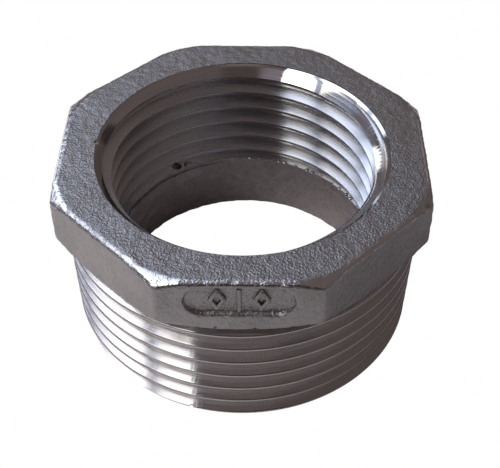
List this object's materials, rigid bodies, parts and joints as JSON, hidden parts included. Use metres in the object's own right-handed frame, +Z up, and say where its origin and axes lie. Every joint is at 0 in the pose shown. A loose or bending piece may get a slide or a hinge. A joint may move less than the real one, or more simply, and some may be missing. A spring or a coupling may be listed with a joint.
{
  "type": "reducing bushing",
  "caption": "Eight-sided reducing bushing in cast and turned stainless steel, with a taper thread outside and a parallel thread inside.",
  "frame": {"origin": "centre of the lower end face, on the bore's axis", "axes": "+Z up through the bore towards the head's top face, -Y towards the front flat with the sunk panel"},
  "size_m": [0.042, 0.042, 0.0222],
  "materials": {
    "stainless_steel": "grainy cast skin on the head and the plain bore, bright turned steel on the threads and the mouth"
  },
  "bodies": {
    "root": {"bushing": "stainless_steel"}
  },
  "joints": []
}
